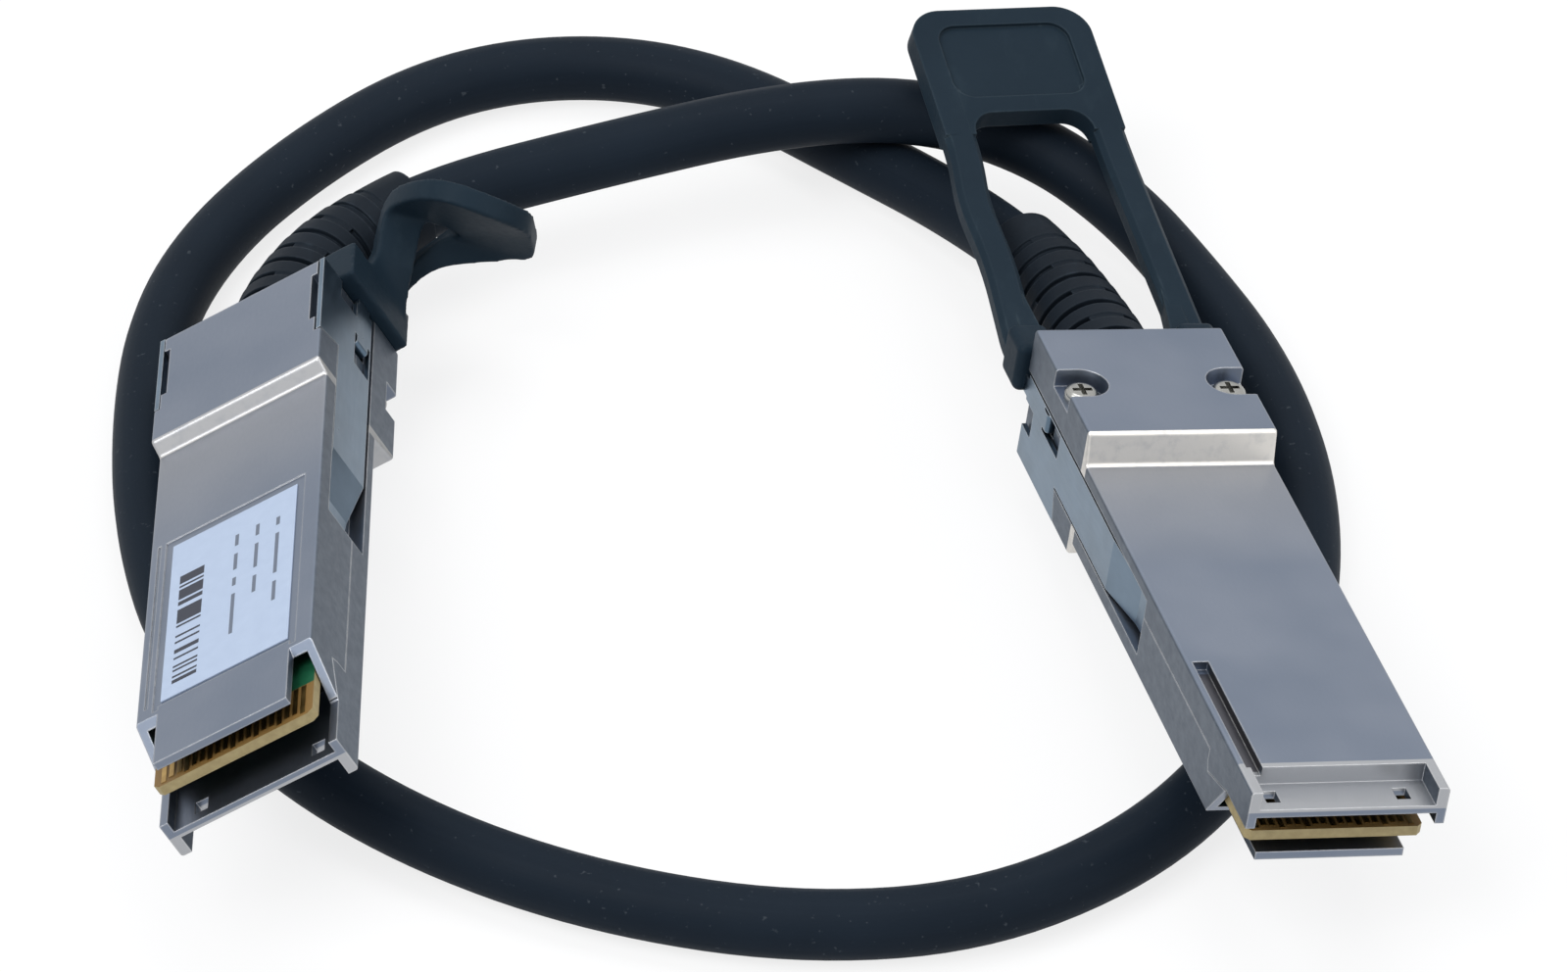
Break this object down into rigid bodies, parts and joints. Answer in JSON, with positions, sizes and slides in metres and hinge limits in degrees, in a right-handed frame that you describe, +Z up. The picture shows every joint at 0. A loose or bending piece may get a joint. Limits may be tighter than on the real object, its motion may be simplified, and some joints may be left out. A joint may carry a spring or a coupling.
{
  "type": "qsfp stacking cable",
  "caption": "Short copper stacking cable: a round black cable in a crossed loop with a pluggable metal connector, ribbed boot and pull-tab latch at each end.",
  "frame": {"origin": "centre of the base of the box around the two plugs with their tabs and boots, on the surface the cable lies on", "axes": "+Z up, +X to the right and +Y away from the viewer of the picture"},
  "size_m": [0.1218, 0.1333, 0.0265],
  "materials": {
    "plated_shell": "satin nickel plate on a zinc die casting",
    "screw_steel": "bright zinc plate",
    "spring_steel": "bright rolled stainless",
    "ferrule": "plain",
    "card": "solder mask over glass epoxy",
    "gold": "gold plate",
    "chip": "moulded",
    "wire_insulation": "foil wrap",
    "boot_rubber": "matt moulded",
    "tab_rubber": "matt moulded",
    "jacket": "matt extruded",
    "label": "satin sticker"
  },
  "bodies": {
    "cable": {"left_base_shell": "plated_shell", "left_cover_shell": "plated_shell", "left_cover_screws": "screw_steel", "left_paddle_card": "card", "left_contact_pads": "gold", "left_memory_chip": "chip", "left_wire_pairs": "wire_insulation", "left_crimp_ferrule": "ferrule", "left_strain_relief": "boot_rubber", "left_return_springs": "spring_steel", "right_base_shell": "plated_shell", "right_cover_shell": "plated_shell", "right_cover_screws": "screw_steel", "right_paddle_card": "card", "right_contact_pads": "gold", "right_memory_chip": "chip", "right_wire_pairs": "wire_insulation", "right_crimp_ferrule": "ferrule", "right_strain_relief": "boot_rubber", "right_return_springs": "spring_steel", "left_label": "label", "cable_jacket": "jacket"},
    "left_latch": {"left_latch_arm_near": "spring_steel", "left_latch_arm_far": "spring_steel", "left_pull_tab": "tab_rubber"},
    "right_latch": {"right_latch_arm_near": "spring_steel", "right_latch_arm_far": "spring_steel", "right_pull_tab": "tab_rubber"}
  },
  "joints": [
    {"name": "left_latch_slide", "type": "slide", "parent": "cable", "child": "left_latch", "axis": [-0.0121, 0.9927, -0.1201], "range_m": [0, 0.0025], "stiffness_N_per_m": 600, "springref_m": -0.002, "deforming": ["left_return_springs"]},
    {"name": "right_latch_slide", "type": "slide", "parent": "cable", "child": "right_latch", "axis": [-0.2438, 0.9636, -0.1097], "range_m": [0, 0.0025], "stiffness_N_per_m": 600, "springref_m": -0.002, "deforming": ["right_return_springs"]}
  ]
}
